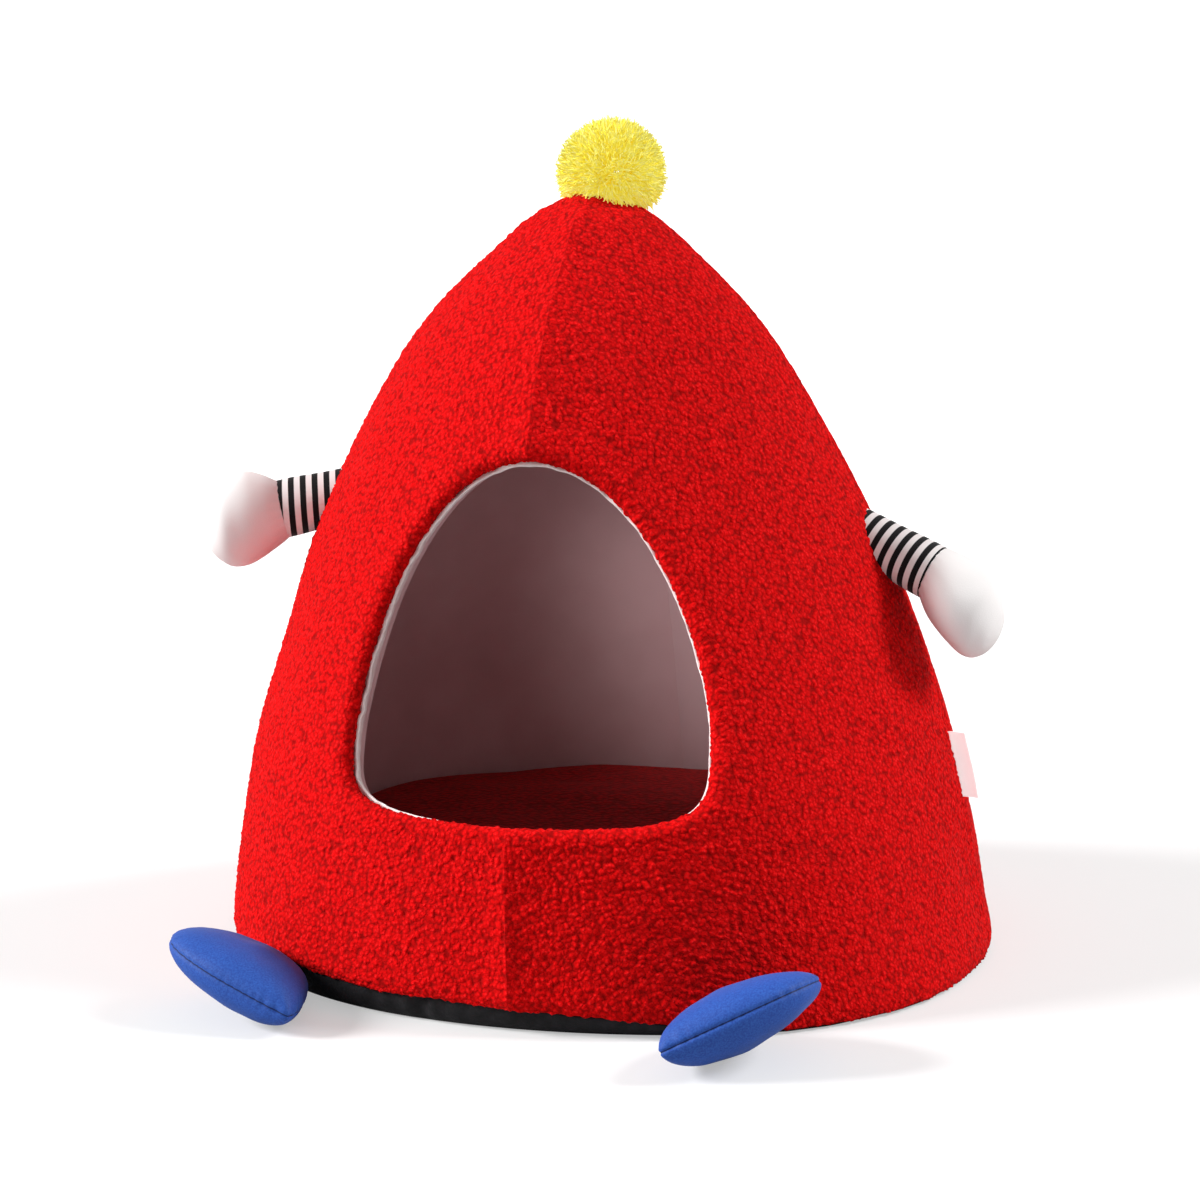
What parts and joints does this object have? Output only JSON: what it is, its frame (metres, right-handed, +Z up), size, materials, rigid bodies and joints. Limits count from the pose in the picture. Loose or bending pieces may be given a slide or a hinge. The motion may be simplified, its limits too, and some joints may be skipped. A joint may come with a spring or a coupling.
{
  "type": "pet house",
  "caption": "Cone-shaped padded pet house of curly fleece with an arched entrance, a cushion inside, stuffed striped arms, flat cloth feet and a yarn pompom on top.",
  "frame": {"origin": "on the floor, under the middle of the base", "axes": "+Z up, the entrance faces -Y, +X to the viewer's right when facing the entrance"},
  "size_m": [0.4574, 0.4797, 0.4588],
  "materials": {
    "red_fleece": "curly pile",
    "pale_lining": "matt, smooth",
    "black_base": "matt, smooth",
    "red_plush": "short pile",
    "striped_knit": "black and white stripes across the sleeve",
    "white_jersey": "matt, fine knit",
    "blue_cloth": "matt, fine weave",
    "yellow_yarn": "cut yarn",
    "white_tab": "matt, smooth"
  },
  "bodies": {
    "root": {"cover_front_left": "red_fleece", "cover_front_right": "red_fleece", "cover_back_left": "red_fleece", "cover_back_right": "red_fleece", "lining": "pale_lining", "base": "black_base", "cushion": "red_plush", "arm_left": "striped_knit", "arm_right": "striped_knit", "hand_left": "white_jersey", "hand_right": "white_jersey", "foot_left": "blue_cloth", "foot_right": "blue_cloth", "pompom": "yellow_yarn", "tab": "white_tab"}
  },
  "joints": []
}
